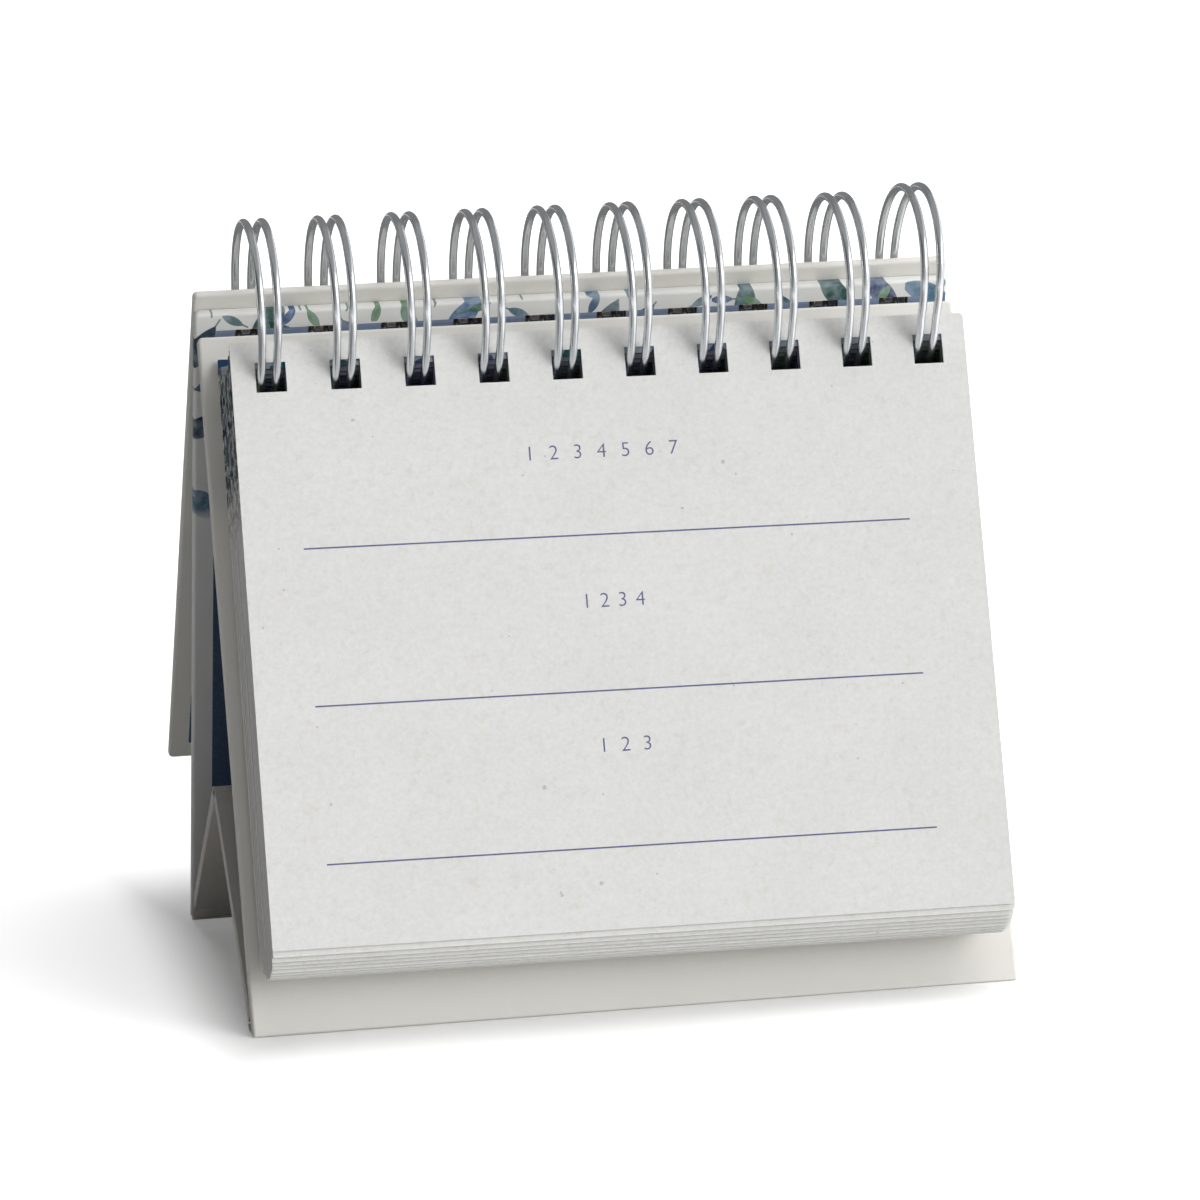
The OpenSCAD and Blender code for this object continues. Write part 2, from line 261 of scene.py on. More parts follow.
def paper(name, colour):
    f = Finish(name, Roughness=0.88, Specular_IOR_Level=0.25)
    at = f.place()
    cloud = f.noise(at, 14 * MM, detail=3.0)
    fibre = f.noise(at, 0.8 * MM, detail=5.0, rough=0.75)
    warm = f.noise(at, 1.7 * MM, detail=4.0, rough=0.7)
    base = f.shaded(linear(*colour), 1 - (cloud - 0.5) * 0.08 - (fibre - 0.5) * 0.3)
    straw = f.tint(f.soft(warm, 0.5, 0.75) * 0.34, base, linear(214, 207, 190))
    tan_flecks = flecks(f, at, spacing=4.2 * MM, radius=0.2 * MM, share=0.45)
    tan = f.tint(tan_flecks * 0.49, straw, linear(172, 164, 152))
    grey_flecks = flecks(f, at, spacing=9 * MM, radius=0.35 * MM, share=0.35)
    f.feed("Base Color", f.tint(grey_flecks * 0.42, tan, linear(140, 140, 146)))
    f.bump(fibre, strength=0.18, distance=0.06 * MM)
    return f


leaf_paper = paper("leaf_paper", (233, 233, 231))
print("made", leaf_paper.material.name)

# %% [markdown]
# ## Scattered sprigs
# The printed papers carry a loose scatter of leaf sprigs. They could be drawn one by one as curves, but a
# few hundred of them are easier as a pattern. Each sprig lies in one cell of a jittered grid, turned by the
# cell's own random number, and its outline is a lens: a parabola on either side of a midrib.

# %% A scatter of sprigs
STEM_HALF = 0.16 * MM
STEM_REACH = 1.7


def sprigs(f, across, up, spacing, length, width, share):
    """Masks of leaf and stem, the place along the leaf, and a random number for each cell."""
    flat = f.node("ShaderNodeCombineXYZ", None, {"X": across, "Y": up})
    cell = f.node("ShaderNodeTexVoronoi", {"voronoi_dimensions": "2D"},
                  {"Vector": flat, "Scale": 1 / spacing, "Randomness": 0.75})
    pick = f.node("ShaderNodeSeparateColor", None, {"Color": cell.out("Color")})
    offset = f.node("ShaderNodeVectorMath", {"operation": "SUBTRACT"}, {0: flat, 1: cell.out("Position")})
    turned = f.node("ShaderNodeVectorRotate", {"rotation_type": "Z_AXIS"},
                    {"Vector": offset, "Angle": pick * (2 * math.pi)})
    x, y, _ = f.axes(turned)
    along = x / length
    lens = 1 - along * along - abs(y) / width
    stem = (abs(y) < STEM_HALF) * (abs(along) < STEM_REACH)
    chosen = pick.out("Green") < share
    return f.soft(lens, 0.0, 0.08) * chosen, stem * chosen, along, pick.out("Blue")


def place_on(f, plane):
    """Object coordinates turned into a leaning plane's own x, y and z."""
    back = plane.inverted()
    return f.node("ShaderNodeMapping", {"vector_type": "POINT"},
                  {"Vector": f.place(), "Location": back.translation, "Rotation": back.to_euler()})


print("sprigs ready")

# %% [markdown]
# ## Paper of the stack
# The leaves behind the front one have a printed header that runs off their edges. The stack shows mostly cut
# edges, where the print appears as specks that change from leaf to leaf, and the holes are painted dark in
# the print's colours, a painted shade.
# Each leaf could have a material of its own, but one that reads the place in the leaning plane does for all.
# A noise that is squeezed along the thickness of the stack makes the specks.

# %% Sizes of the stack
STACK_T = 15.9 * MM
FRONT_ROOM = 0.45 * MM
CARD_T = 0.5 * MM
STACK_FRONT = -STACK_T + FRONT_ROOM
STACK_BACK = -CARD_T
STACK_LEAVES = 51
BUNDLE = 3
BUNDLE_GAP = 0.12 * MM
LEAF_SPACING = (STACK_BACK - STACK_FRONT - STACK_LEAVES / BUNDLE * BUNDLE_GAP) / STACK_LEAVES
LEAF_W = 127.7 * MM
print("leaf spacing, mm:", round(LEAF_SPACING / MM, 3))

# %% Header, specks and painted shade
# heights and half widths in the plane of the leaves
HEADER_FADE = (88 * MM, 96 * MM)
SPECK_FADE = (80 * MM, 90 * MM)
SIDE_BAND = 1.35 * MM
SIDE_RIM = LEAF_W / 2 - SIDE_BAND
TOP_RIM = 109.8 * MM


def squeezed_noise(f, here, across, deep, tall, detail=2.0):
    squeezed = f.node("ShaderNodeVectorMath", {"operation": "MULTIPLY"},
                      {0: here, 1: (1 / across, 1 / deep, 1 / tall)})
    return f.noise(squeezed, 1.0, detail, rough=0.5)


def header_print(f, base, across, height):
    """A dark wash and sprigs over the upper part of each leaf; the wash is print, and its darkness is also
    painted shade seen through the holes.
    """
    leaf, stem, _, random = sprigs(f, across, height, spacing=7.5 * MM, length=5.0 * MM,
                                   width=2.1 * MM, share=0.9)
    ink = f.ramp(random, (0.0, (44, 66, 116)), (0.4, (30, 84, 88)),
                 (0.7, (34, 76, 60)), (1.0, (72, 66, 130)))
    header = f.soft(height, *HEADER_FADE)
    # the wash is partly print and partly painted shade for the front of the stack seen through the holes
    wash_and_shade = f.tint(header * 0.8, base, linear(96, 116, 132))
    return f.tint(header * leaf.most(stem), wash_and_shade, ink)


def edge_specks(f, here, side, height):
    """Where the print runs off the cut edges, and its colours there."""
    rim = (side > SIDE_RIM).most((height > TOP_RIM) * 0.4)
    speck = squeezed_noise(f, here, across=5 * MM, deep=1.5 * MM, tall=1.5 * MM, detail=4.0)
    hue = squeezed_noise(f, here, across=6 * MM, deep=1.4 * MM, tall=5 * MM)
    bleed = f.ramp(hue, (0.3, (24, 32, 54)), (0.46, (58, 70, 86)), (0.56, (34, 52, 52)), (0.7, (70, 74, 96)))
    return f.soft(height, *SPECK_FADE) * rim * f.soft(speck, 0.46, 0.52) * 0.95, bleed


def hole_painted_shade(f, here, beat):
    """Painted shade in the holes, tinted from hole to hole in the print's colours, with a paler painted
    highlight at the start of each bundle.
    """
    hue = squeezed_noise(f, here, across=9 * MM, deep=60 * MM, tall=60 * MM, detail=0.0)
    deep = f.ramp(hue, (0.34, (40, 70, 32)), (0.44, (28, 46, 78)), (0.52, (64, 60, 108)),
                  (0.6, (36, 72, 46)), (0.7, (96, 96, 96)))
    return f.tint(f.soft(beat, 0.5, 0.25) * 0.4, deep, linear(176, 180, 184))


print("header fades in from, mm:", [round(v / MM) for v in HEADER_FADE])

# %% The stack's material
FACE_SKIN = 0.05 * MM
HOLE_ROW_HALF = 61 * MM
HOLE_ROW_LOW = 95 * MM
HOLE_ROW_TOP = 111.6 * MM


def stack_paper():
    f = paper("stack_paper", (238, 238, 235))
    base = Signal(f, f.shader.inputs["Base Color"].links[0].from_socket)
    here = place_on(f, hung_plane)
    across, depth, height = f.axes(here)
    side = abs(across)
    inward = hung_plane.to_3x3() @ Vector((0, 1, 0))
    normal = f.node("ShaderNodeNewGeometry", out="Normal")
    facing = f.node("ShaderNodeVectorMath", {"operation": "DOT_PRODUCT"}, {0: normal, 1: inward}, out="Value")
    edge = abs(facing) < 0.5
    beat = f.maths("FRACT", (depth - STACK_FRONT) / (BUNDLE * LEAF_SPACING + BUNDLE_GAP))
    # the cut edges are painted a little whiter than the faces, painted light for the edge band that gets
    # little light
    print_with_lifted_edges = f.tint(edge, header_print(f, base, across, height), linear(246, 245, 241))
    # the back of each bundle's cut edges is painted darker, a painted shade for the gap between bundles
    bundle_gap_shade = f.tint(edge * f.soft(beat, 0.7, 0.95) * 0.5, print_with_lifted_edges, linear(132, 129, 122))
    specks, bleed = edge_specks(f, here, side, height)
    inked = f.tint(edge * specks, bundle_gap_shade, bleed)
    punched = f.node("ShaderNodeAttribute", {"attribute_name": "punched"}, out="Fac")
    # the faces between the leaves, seen only through the holes, and the walls of the holes get painted shade
    between = (1 - edge) * (depth > STACK_FRONT + FACE_SKIN)
    round_hole = between * (side < HOLE_ROW_HALF) * (height > HOLE_ROW_LOW) * (height < HOLE_ROW_TOP)
    in_hole = (edge * punched).most(round_hole)
    f.feed("Base Color", f.tint(in_hole * 0.95, inked, hole_painted_shade(f, here, beat)))
    return f


stack_finish = stack_paper()
print("made", stack_finish.material.name)

# %% [markdown]
# ## Covering paper
# The case is covered with a smooth cream paper, drawn tight over the boards. The upper part of the back board
# carries a loose print of the sprigs in two sizes, with a strip of lining colour along its inner top edge.
# Four materials could be written out, but they differ in tint alone, so one function makes them all, and the
# print is a second function that is handed to the first.

# %% Print of the back board
BACK_LEN = 117.111 * MM
PRINT_FROM = BACK_LEN - 36 * MM
PRINT_FADE = 3 * MM
STRIP_TOP = BACK_LEN - 3.05 * MM
STRIP_LOW = BACK_LEN - 20 * MM
STRIP_HALF = 63 * MM
INNER_SKIN = 0.3 * MM
LARGE_INKS = ((0.0, (44, 66, 116)), (0.3, (96, 132, 176)), (0.55, (30, 84, 88)),
              (0.8, (34, 76, 60)), (1.0, (72, 66, 130)))
SMALL_INKS = ((0.0, (64, 112, 88)), (0.5, (130, 164, 120)), (1.0, (70, 92, 150)))


def sprig_print(f, colour):
    """Sprigs over the upper part of the back board, and the strip at its inner top edge."""
    across, outward, up = f.axes(place_on(f, back_plane))
    upper = f.soft(up, PRINT_FROM - PRINT_FADE, PRINT_FROM)
    wash = f.noise(f.place(), 1.8 * MM, detail=3.0)
    for spacing, length, width, share, inks in (
            (8.5 * MM, 5.2 * MM, 2.0 * MM, 0.8, LARGE_INKS), (5.2 * MM, 2.2 * MM, 0.8 * MM, 0.5, SMALL_INKS)):
        leaf, stem, along, random = sprigs(f, across, up, spacing, length, width, share)
        watered = f.soft(wash + 0.18 * along, 0.3, 0.75) * 0.45
        pale = f.tint(watered, f.ramp(random, *inks), linear(196, 212, 220))
        colour = f.tint(stem * upper * 0.8, colour, linear(84, 132, 112))
        colour = f.tint(leaf * upper, colour, pale)
    # the strip takes the lining's paler top tint, painted light as on the lining
    strip = (up < STRIP_TOP) * (up > STRIP_LOW) * (outward < INNER_SKIN) * (abs(across) < STRIP_HALF)
    return f.tint(strip, colour, linear(138, 154, 182))


print("print starts below the top, mm:", round((BACK_LEN - PRINT_FROM) / MM))

# %% Covering papers
def cover_paper(name, colour, decorate=None):
    f = Finish(name, Specular_IOR_Level=0.35)
    at = f.place()
    fine = f.noise(at, 0.6 * MM, detail=4.0, rough=0.65)
    broad = f.noise(at, 22 * MM, detail=3.0)
    plain = f.shaded(linear(*colour), 1 - (fine - 0.5) * 0.05 - (broad - 0.5) * 0.06)
    f.feed("Base Color", decorate(f, plain) if decorate else plain)
    f.feed("Roughness", 0.56 + 0.12 * fine)
    f.bump(fine, strength=0.12, distance=0.05 * MM)
    return f


plain_cover = cover_paper("cover_paper", (238, 236, 230))
turned_cover = cover_paper("cover_paper_turned", (240, 238, 231))
# the printed paper is painted whiter than the plain one, painted light for the back board's inner face, which
# gets little light
lit_printed_cover = cover_paper("cover_paper_printed", (244, 244, 241), sprig_print)
# the base's paper is darker and warmer, partly its own tone and partly painted shade under the stack
shaded_base_cover = cover_paper("cover_paper_base", (218, 214, 207))
print("made", [f.material.name for f in (plain_cover, turned_cover, lit_printed_cover, shaded_base_cover)])

# %% [markdown]
# ## Lining and raw board
# Inside the case is a blue lining paper, painted paler towards its top as painted light, where more light
# reaches it, and in the slots for the wire the grey board shows its pulp. Two plain tints would nearly do,
# because both lie in the shade. But the lining is a large dark face from the side, so it gets the mottling of
# the other papers, and the board gets its fibres.

# %% Lining and raw board
LINING_PAINTED_LIGHT = (98 * MM, 110 * MM)


def lining():
    f = Finish("liner_paper", Roughness=0.72, Specular_IOR_Level=0.3)
    at = f.place()
    fine = f.noise(at, 0.5 * MM, detail=4.0, rough=0.7)
    broad = f.noise(at, 11 * MM, detail=3.0)
    height = f.axes(at)[2]
    # the lining is painted paler towards its top, painted light where more light reaches it
    painted_top_light = f.tint(f.soft(height, *LINING_PAINTED_LIGHT), linear(76, 98, 124), linear(138, 154, 182))
    deep = f.tint(f.soft(broad, 0.3, 0.7) * 0.25, painted_top_light, linear(58, 78, 104))
    f.feed("Base Color", f.tint(f.soft(fine, 0.52, 0.72) * 0.3, deep, linear(150, 164, 190)))
    f.bump(fine, strength=0.1, distance=0.05 * MM)
    return f


def greyboard():
    f = Finish("greyboard", Roughness=0.95, Specular_IOR_Level=0.15)
    at = f.place()
    fibre = f.noise(at, 0.5 * MM, detail=6.0, rough=0.75)
    patch = f.noise(at, 2.5 * MM, detail=3.0)
    pulp = f.tint(f.soft(fibre, 0.35, 0.65), linear(84, 70, 58), linear(140, 124, 106))
    chips = flecks(f, at, spacing=1.2 * MM, radius=0.12 * MM, share=0.4)
    f.feed("Base Color", f.tint(chips * patch, pulp, linear(186, 172, 150)))
    f.bump(fibre, strength=0.4, distance=0.12 * MM)
    return f


liner_finish = lining()
board_finish = greyboard()
print("made", liner_finish.material.name, board_finish.material.name)

# %% [markdown]
# ## Solids that only need a finish
# The cores and linings of the boards, the three paper folds and the card behind the leaves have their right
# shape in the frame already. They could be copied and rebuilt, but a solid that is right is better left
# alone. So each one gets its finish in its own material slot, and its shape isn't touched.

# %% Dress the carried-over solids
dressing = {"front_foot_hinge": plain_cover, "back_foot_hinge": shaded_base_cover, "ridge_hinge": shaded_base_cover,
            "back_card": leaf_paper}
for board in ("front_board", "back_board", "base_front", "base_back", "cover"):
    dressing[board + "_core"] = board_finish
    dressing[board + "_liner"] = liner_finish
for name, finish in dressing.items():
    nodes[name].data.materials.clear()
    nodes[name].data.materials.append(finish.material)
print("dressed", len(dressing), "solids")

# %% [markdown]
# ## Rounded coverings
# Paper folded over the edge of a board never makes a sharp corner, and the solids are drawn with square
# edges. A Bevel modifier would round every edge, also those of the slots and of the turned-in border, which
# are cut and stay crisp. So the covering of each board is copied, its outer edges are picked by where they
# lie, and only those are rounded.

# %% Outer edges of a board
RIM = 1 * MM
FOLD_ANGLE = 0.7


def outer_edges(bm, up, crisp=None):
    """Sharp convex edges at the sides and ends of a board, whose length runs along up.

    An edge across the top, on the side that crisp points to, is left out.
    """
    rise = [v.co.dot(up) for v in bm.verts]
    top = max(rise) - RIM
    low = min(rise) + RIM
    half = max(abs(v.co.x) for v in bm.verts) - RIM

    def at_rim(v):
        return abs(v.co.x) > half or v.co.dot(up) > top or v.co.dot(up) < low

    def kept_sharp(e):
        if crisp is None or any(v.co.dot(up) <= top for v in e.verts):
            return False
        faces_it = any(f.normal.dot(crisp) > 0.9 for f in e.link_faces)
        return faces_it and abs((e.verts[0].co - e.verts[1].co).x) > RIM

    return [e for e in bm.edges if e.is_manifold and e.is_convex and e.calc_face_angle() > FOLD_ANGLE
            and all(at_rim(v) for v in e.verts) and not kept_sharp(e)]


def finished_mesh(bm, name):
    mesh = bpy.data.meshes.new(name)
    bm.to_mesh(mesh)
    bm.free()
    return mesh


def new_object(name, data):
    made = bpy.data.objects.new(name, data)
    bpy.context.scene.collection.objects.link(made)
    return made


print("edges within", RIM / MM, "mm of a board's rim count as outer ones")

# %% Round the coverings
EDGE_ROUND = 0.5 * MM
COVER_LEAN = math.radians(26.8)


def round_covering(board, body, lean, finish):
    bm = bmesh.new()
    bm.from_mesh(nodes[board + "_wrap"].data)
    bmesh.ops.remove_doubles(bm, verts=bm.verts, dist=1e-6)
    bmesh.ops.dissolve_limit(bm, angle_limit=0.01, verts=bm.verts, edges=bm.edges)
    up = Vector((0, -math.sin(lean), math.cos(lean)))
    rear = Vector((0, math.cos(lean), math.sin(lean)))
    edges = outer_edges(bm, up, rear if board == "back_board" else None)
    made = bmesh.ops.bevel(bm, geom=edges, offset=EDGE_ROUND, offset_type="OFFSET", segments=4, profile=0.5,
                           affect="EDGES", clamp_overlap=True)
    for face in made["faces"]:
        face.smooth = True
    mesh = finished_mesh(bm, board + "_covering")
    mesh.materials.append(finish.material)
    piece = new_object(board + "_covering", mesh)
    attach(piece, body)
    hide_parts(board + "_wrap")
    print(piece.name, "edges rounded:", len(edges))


round_covering("front_board", "stand", -FRONT_LEAN, plain_cover)
round_covering("back_board", "back_panel", BACK_LEAN, lit_printed_cover)
round_covering("base_front", "base_front", -FRONT_LEAN, shaded_base_cover)
round_covering("base_back", "base_back", BACK_LEAN, shaded_base_cover)
round_covering("cover", "cover", COVER_LEAN, turned_cover)

# %% [markdown]
# ## Keeping what Geometry Nodes made
# The wire and the stack of leaves follow rules, so each is made by a node tree with its sizes as inputs. The
# tree could stay on its object as a live modifier, but the finished calendar needs plain meshes. So the tree
# runs once, the result is copied into a new object, and the object that ran it is removed.

# %% Run a tree and keep its mesh
def recipe(name, inputs):
    """A new geometry tree, and a function that finds one of its inputs by name."""
    tree = bpy.data.node_groups.new(name, "GeometryNodeTree")
    tree.interface.new_socket("Geometry", in_out="INPUT", socket_type="NodeSocketGeometry")
    for key, kind in inputs.items():
        tree.interface.new_socket(key, in_out="INPUT", socket_type="NodeSocket" + kind)
    tree.interface.new_socket("Geometry", in_out="OUTPUT", socket_type="NodeSocketGeometry")
    net = Net(tree)
    return net, net.node("NodeGroupInput").out


def serve(net, geometry, material):
    """Ends a tree in plain geometry with its material."""
    real = net.node("GeometryNodeRealizeInstances", None, {"Geometry": geometry})
    painted = net.node("GeometryNodeSetMaterial", None, {"Geometry": real, "Material": material})
    end = net.tree.nodes.new("NodeGroupOutput")
    net.tree.links.new(painted.socket, end.inputs[0])


def plain_mesh(maker):
    """What an object looks like once its modifiers or its text have run, as a mesh."""
    depsgraph = bpy.context.evaluated_depsgraph_get()
    return bpy.data.meshes.new_from_object(maker.evaluated_get(depsgraph), depsgraph=depsgraph)


def cook(name, net, values, source=None):
    """Runs the tree on a mesh and returns a new object with the plain result."""
    host = new_object(name + "_host", source or bpy.data.meshes.new(name + "_host"))
    modifier = host.modifiers.new("recipe", "NODES")
    modifier.node_group = net.tree
    ids = {s.name: s.identifier for s in net.tree.interface.items_tree if s.in_out == "INPUT"}
    for key, value in values.items():
        modifier[ids[key]] = value
    mesh = plain_mesh(host)
    bpy.data.objects.remove(host)
    print(name, "faces:", len(mesh.polygons))
    return new_object(name, mesh)


print("recipes ready")

# %% [markdown]
# ## Twin-loop wire
# The binding is one length of wire. It runs up and round a loop, turns back in a hairpin, comes round again
# beside itself, and steps across to the next loop. Twenty separate rings would look alike from the front, but
# not at the tips and links, so the whole route is a formula on the surface of a cylinder.

# %% Stations along one double loop
TWIN_GAP = 2.8 * MM
BEND_R = 1.2 * MM
LINK_ANGLE = math.radians(-57.8997)
TIP_ANGLE = math.radians(-45.2551)
ARC_STEPS = 128
HAIRPIN_STEPS = 14
BEND_STEPS = 7


def loop_stations(first, last):
    """Places beside the loop's middle, angles round the axis, and steps along the loop."""
    half = TWIN_GAP / 2
    link = LINK_ANGLE - math.asin(BEND_R / LOOP_R)
    sweep = link + 2 * math.pi - TIP_ANGLE
    turn = [TIP_ANGLE + sweep * j / ARC_STEPS for j in range(ARC_STEPS + 1)]
    hairpin = [math.pi * j / HAIRPIN_STEPS for j in range(1, HAIRPIN_STEPS)]
    bend = [math.pi / 2 * j / BEND_STEPS for j in range(BEND_STEPS + 1)]
    stations = []
    if not first:
        stations += [(-half - BEND_R * (1 - math.sin(q)), link, BEND_R * math.cos(q)) for q in bend[:-1]]
    stations += [(-half, angle, 0) for angle in reversed(turn)]
    stations += [(-half * math.cos(q), TIP_ANGLE, -half * math.sin(q)) for q in hairpin]
    stations += [(half, angle, 0) for angle in turn]
    if not last:
        stations += [(half + BEND_R * (1 - math.cos(q)), link, BEND_R * math.sin(q)) for q in bend[1:]]
    return stations


print("stations on a middle loop:", len(loop_stations(False, False)))

# %% [markdown]
# ## How use has bent the wire
# On the real calendar no two loops stand quite alike. Each pair closes towards the leaves, the weight of the
# leaves pulls the loops down where they hang, and the last loop has sprung open. The points could be pushed
# about by hand, but a few soft rules keep the wire smooth and clear of the holes.

# %% Route of the wire
WIRE_SHIFT = -0.42 * MM
PAIR_SPREAD = 0.97
PAIR_CLOSING = 0.13
SPRUNG = 0.8 * MM
SPRUNG_FROM = 6 * MM
SPRUNG_FADE = 4 * MM
SPRUNG_LOW = 0.3
SAG = 2.8 * MM
SAG_REACH = 11 * MM
SAG_ROUND = 2 * MM
leaf_up = leaf_plane.to_3x3() @ Vector((0, 0, 1))
leaf_in = leaf_plane.to_3x3() @ Vector((0, 1, 0))


def sag(inward):
    """How far the loops are pulled down, this far in from their axis."""
    return SAG * max(0.0, 1 - math.hypot(inward, SAG_ROUND) / SAG_REACH)


def wire_point(middle, aside, angle, step):
    x = middle + aside * (PAIR_SPREAD + PAIR_CLOSING * math.sin(angle)) + WIRE_SHIFT
    last = max(0.0, min(1.0, (x - last_hole.x + SPRUNG_FROM) / SPRUNG_FADE))
    spring = SPRUNG * last * max(0.0, math.sin(angle) + SPRUNG_LOW)
    r = LOOP_R + spring
    spot = Vector((x + spring, r * math.cos(angle) - step * math.sin(angle),
                   r * math.sin(angle) + step * math.cos(angle)))
    if spot.dot(leaf_up) < 0:
        spot -= leaf_up * sag(spot.dot(leaf_in))
    return loop_axis + spot


route = [wire_point(middle, *station) for middle in loop_places
         for station in loop_stations(middle == loop_places[0], middle == loop_places[-1])]
line = bpy.data.meshes.new("wire_route")
line.from_pydata(route, [(i, i + 1) for i in range(len(route) - 1)], [])
print("wire length, mm:", round(sum((a - b).length for a, b in zip(route, route[1:])) / MM))

# %% [markdown]
# ## Satin wire
# The wire is drawn steel with a satin skin: it mirrors the studio as soft stripes, and fine marks of drawing
# break them up. A grey paint would stay flat as the light moves. So the finish is a full metal with a low
# roughness that varies a little. A tree sweeps a round section along the route, because the diameter then
# stays an input, and the wire ends in closed caps.

# %% Finish of the wire
def wire_metal():
    f = Finish("wire_satin", Metallic=1.0)
    at = f.place()
    drawn = f.noise(at, 0.35 * MM, detail=4.0, rough=0.6)
    spot = f.noise(at, 6 * MM, detail=3.0, rough=0.5)
    f.feed("Base Color", f.tint(f.soft(spot, 0.35, 0.7), linear(216, 219, 222), linear(228, 230, 233)))
    f.feed("Roughness", 0.19 + 0.04 * f.soft(spot, 0.3, 0.75) + 0.04 * drawn)
    f.bump(drawn, strength=0.04, distance=0.02 * MM)
    return f


wire_finish = wire_metal()
print("made", wire_finish.material.name)

# %% Sweep the wire
WIRE_D = 1.4 * MM
net, given = recipe("sweep_wire", {"Wire diameter": "Float", "Sides": "Int"})
section = net.node("GeometryNodeCurvePrimitiveCircle", {"mode": "RADIUS"},
                   {"Resolution": given("Sides"), "Radius": given("Wire diameter") * 0.5})
path = net.node("GeometryNodeMeshToCurve", None, {"Mesh": given("Geometry")})
tube = net.node("GeometryNodeCurveToMesh", None, {"Curve": path, "Profile Curve": section, "Fill Caps": True})
smooth = net.node("GeometryNodeSetShadeSmooth", None, {"Geometry": tube})
serve(net, smooth, wire_finish.material)
wire = cook("binding_wire_round", net, {"Wire diameter": WIRE_D, "Sides": 16}, line)
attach(wire, "stand")
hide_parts("binding_wire")

# %% [markdown]
# ## One leaf with its holes
# A leaf is a thin card with a row of square holes, and its right corners are worn round. A boolean could cut
# the holes, but it is slow and leaves stray edges. Here the outline and the holes are closed rings, which are
# filled as one face and pulled to the paper's thickness. The walls of the holes get a mark of their own, so
# that the paper of the stack can be painted dark there, a painted shade.

# %% Rings of a leaf
LEAF_H = 102.4 * MM
HOLE_W = 5.2 * MM
HOLE_H = 5.1 * MM
HOLE_MARGIN = 3.5 * MM
WORN_CORNER = 0.8 * MM
CRISP_CORNER = 0.2 * MM
CORNER_STEPS = 4


def leaf_rings():
    """The outline of a leaf and its holes, with the holes' upper edge at height 0."""
    top = HOLE_MARGIN
    low = HOLE_MARGIN - LEAF_H
    outline = []
    for side, end, start, r in ((1, top, 0, WORN_CORNER), (-1, top, 90, CRISP_CORNER),
                                (-1, low, 180, CRISP_CORNER), (1, low, 270, WORN_CORNER)):
        x = side * (LEAF_W / 2 - r)
        z = end - r if end == top else end + r
        turn = [math.radians(start + 90 * k / CORNER_STEPS) for k in range(CORNER_STEPS + 1)]
        outline += [(x + r * math.cos(q), z + r * math.sin(q)) for q in turn]
    holes = [[(x - HOLE_W / 2, 0), (x + HOLE_W / 2, 0), (x + HOLE_W / 2, -HOLE_H), (x - HOLE_W / 2, -HOLE_H)]
             for x in loop_places]
    return [outline, *holes]


print("rings of a leaf:", len(leaf_rings()))

# %% Fill and thicken a leaf
LEAF_T = 0.97 * LEAF_SPACING
WALL_SLACK = 0.1 * MM
FACE_ORDER = Vector((1.0, 0.37, 0.0113))


def leaf_sheet(thickness):
    bm = bmesh.new()
    edges = []
    for ring in leaf_rings():
        verts = [bm.verts.new((x, 0, z)) for x, z in ring]
        edges += [bm.edges.new((a, b)) for a, b in zip(verts, verts[1:] + verts[:1])]
    bmesh.ops.triangle_fill(bm, use_beauty=True, edges=edges)
    grown = bmesh.ops.extrude_face_region(bm, geom=bm.faces[:])
    rear = [v for v in grown["geom"] if isinstance(v, bmesh.types.BMVert)]
    bmesh.ops.translate(bm, vec=(0, thickness, 0), verts=rear)
    bmesh.ops.recalc_face_normals(bm, faces=bm.faces[:])
    # extruding makes the walls in no fixed order, so the faces are sorted by where they lie
    bm.faces.sort(key=lambda face: face.calc_center_median().dot(FACE_ORDER))
    punched = bm.faces.layers.float.new("punched")
    for face in bm.faces:
        middle = face.calc_center_median()
        in_row = abs(middle.x) < LEAF_W / 2 - RIM and -HOLE_H - WALL_SLACK < middle.z < WALL_SLACK
        face[punched] = float(in_row and abs(face.normal.y) < 0.5)
    return finished_mesh(bm, "one_leaf")


one_leaf = new_object("one_leaf", leaf_sheet(LEAF_T))
print("one leaf, faces:", len(one_leaf.data.polygons))

# %% [markdown]
# ## Front leaf
# The front leaf is the one that is written on, and the one that turns over the loops. It could be the first
# copy in the stack, but it has to move alone, so it is a piece of its own from the same function. Its height
# comes from a right triangle: the inner radius of the loops, and the leaf's distance in front of their axis.

# %% Front leaf
FRONT_T = 0.3 * MM
FRONT_PLAY = 0.03 * MM
INNER_R = LOOP_R - WIRE_D / 2
front_hang = LOOP_UP - math.sqrt(INNER_R ** 2 - (STACK_T - LOOP_AHEAD) ** 2) + FRONT_PLAY
front_mesh = leaf_sheet(FRONT_T)
front_mesh.transform(hung_plane @ Matrix.Translation((0, -STACK_T, front_hang)))
front_mesh.materials.append(leaf_paper.material)
front_sheet = new_object("front_leaf_sheet", front_mesh)
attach(front_sheet, "leaf")
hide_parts("front_leaf")
print("front leaf hangs at, mm:", round(front_hang / MM, 2))

# %% [markdown]
# ## Stack of leaves
# The solids hold the stack as twelve thick blocks. Up close it is a pack of separate leaves, which hang by
# their holes on the round of the wire, so the pack's upper and lower edges follow a curve. An Array modifier
# repeats a leaf in a straight row only. A tree can work out the drop of each small bundle from the wire's
# radius and its sag, and move the leaves by chance with a fixed seed.

